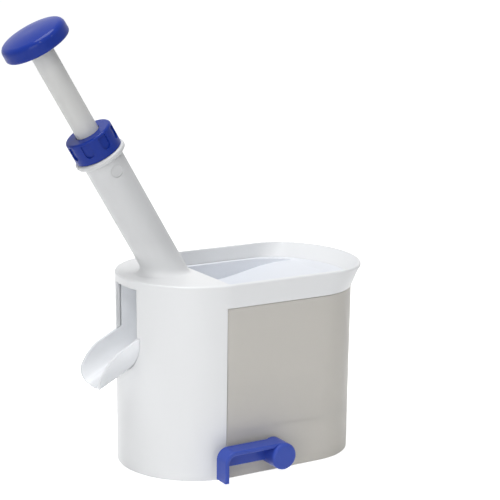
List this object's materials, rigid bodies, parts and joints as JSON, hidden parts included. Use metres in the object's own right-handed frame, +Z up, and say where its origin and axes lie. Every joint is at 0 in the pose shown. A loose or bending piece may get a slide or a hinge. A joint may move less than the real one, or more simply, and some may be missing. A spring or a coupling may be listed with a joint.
{
  "type": "cherry pitter with lever",
  "caption": "Tabletop plunger pitter: fruit hopper, tilted spring-loaded punch, clear pit container, outlet chute and a lever-locked suction foot.",
  "frame": {"origin": "middle of the footprint, on the table plane", "axes": "+X along the footprint towards the hopper's pouring lip, +Y across it away from the lever, +Z up"},
  "size_m": [0.2089, 0.1029, 0.2477],
  "materials": {
    "housing_white": "smooth satin moulding",
    "tray_white": "smooth satin moulding",
    "chute_white": "smooth satin moulding",
    "rod_white": "smooth low-friction plastic",
    "knob_blue": "polished deep blue moulding",
    "lever_blue": "satin blue moulding",
    "clear_plastic": "polished clear plastic with a faint grey tint",
    "base_grey": "fine matt moulding",
    "grey_rubber": "soft matt rubber",
    "steel": "bright stainless steel"
  },
  "bodies": {
    "body": {"housing": "housing_white", "hopper_tray": "tray_white", "chute": "chute_white", "cherry_seat": "tray_white", "seat_seal": "grey_rubber", "stripper_sleeve": "rod_white", "spring_washer": "steel", "return_spring": "steel", "base_plate": "base_grey", "base_screws": "steel", "suction_pad": "grey_rubber"},
    "plunger": {"plunger_rod": "rod_white", "push_cap": "knob_blue", "punch": "steel", "punch_pin": "steel"},
    "bush": {"rod_bush": "rod_white"},
    "collar": {"collar_nut": "knob_blue"},
    "container": {"pit_container": "clear_plastic"},
    "lever_shaft": {"lever": "lever_blue", "cam_shaft": "base_grey", "retaining_ring": "steel"},
    "stem": {"pad_stem": "rod_white"}
  },
  "joints": [
    {"name": "plunger_press", "type": "slide", "parent": "body", "child": "plunger", "axis": [0.506, 0, -0.8625], "range_m": [0, 0.045], "stiffness_N_per_m": 150, "springref_m": -0.02, "deforming": ["return_spring"]},
    {"name": "collar_rise", "type": "slide", "parent": "body", "child": "bush", "axis": [-0.506, 0, 0.8625], "range_m": [0, 0.006]},
    {"name": "collar_turn", "type": "hinge", "parent": "bush", "child": "collar", "pos_m": [-0.0418, 0, 0.108], "axis": [-0.506, 0, 0.8625], "range_deg": [0, 720]},
    {"name": "container_slide", "type": "slide", "parent": "body", "child": "container", "axis": [1, 0, 0], "range_m": [0, 0.09]},
    {"name": "lever_turn", "type": "hinge", "parent": "body", "child": "lever_shaft", "pos_m": [-0.001, 0, 0.0129], "axis": [0, 1, 0], "range_deg": [0, 110]},
    {"name": "stem_drop", "type": "slide", "parent": "body", "child": "stem", "axis": [0, 0, -1], "range_m": [0, 0.0016], "deforming": ["suction_pad"]}
  ],
  "couplings": [
    {"joint": "collar_turn", "follows": "collar_rise", "rad_per_m": 2094.3},
    {"joint": "lever_turn", "follows": "stem_drop", "rad_per_m": 1199.9}
  ]
}
